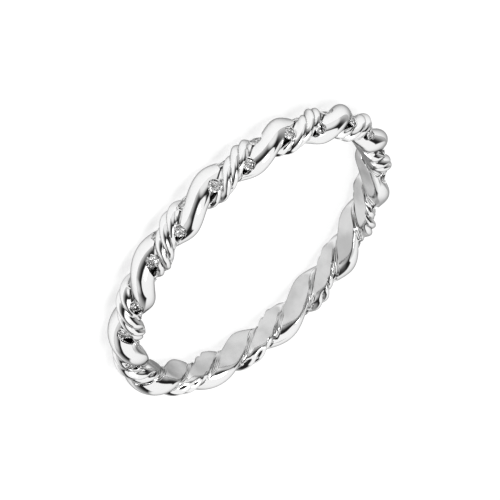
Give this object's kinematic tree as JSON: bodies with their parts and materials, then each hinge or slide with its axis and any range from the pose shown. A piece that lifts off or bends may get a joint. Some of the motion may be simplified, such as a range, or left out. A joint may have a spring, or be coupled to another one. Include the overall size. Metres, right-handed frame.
{
  "type": "rope twist finger ring",
  "caption": "Slim two-ply rope twist finger ring with small round stones set one by one between its smooth and its stranded ply.",
  "frame": {"origin": "centre of the finger bore, in the ring's middle plane", "axes": "+Z along the finger bore, square to the plane in which the ring lies, +X and +Y in that plane"},
  "size_m": [0.0204, 0.0204, 0.0022],
  "materials": {
    "polished_metal": "polished white gold",
    "clear_stone": "cut and polished"
  },
  "bodies": {
    "root": {"band": "polished_metal", "stones": "clear_stone"}
  },
  "joints": []
}
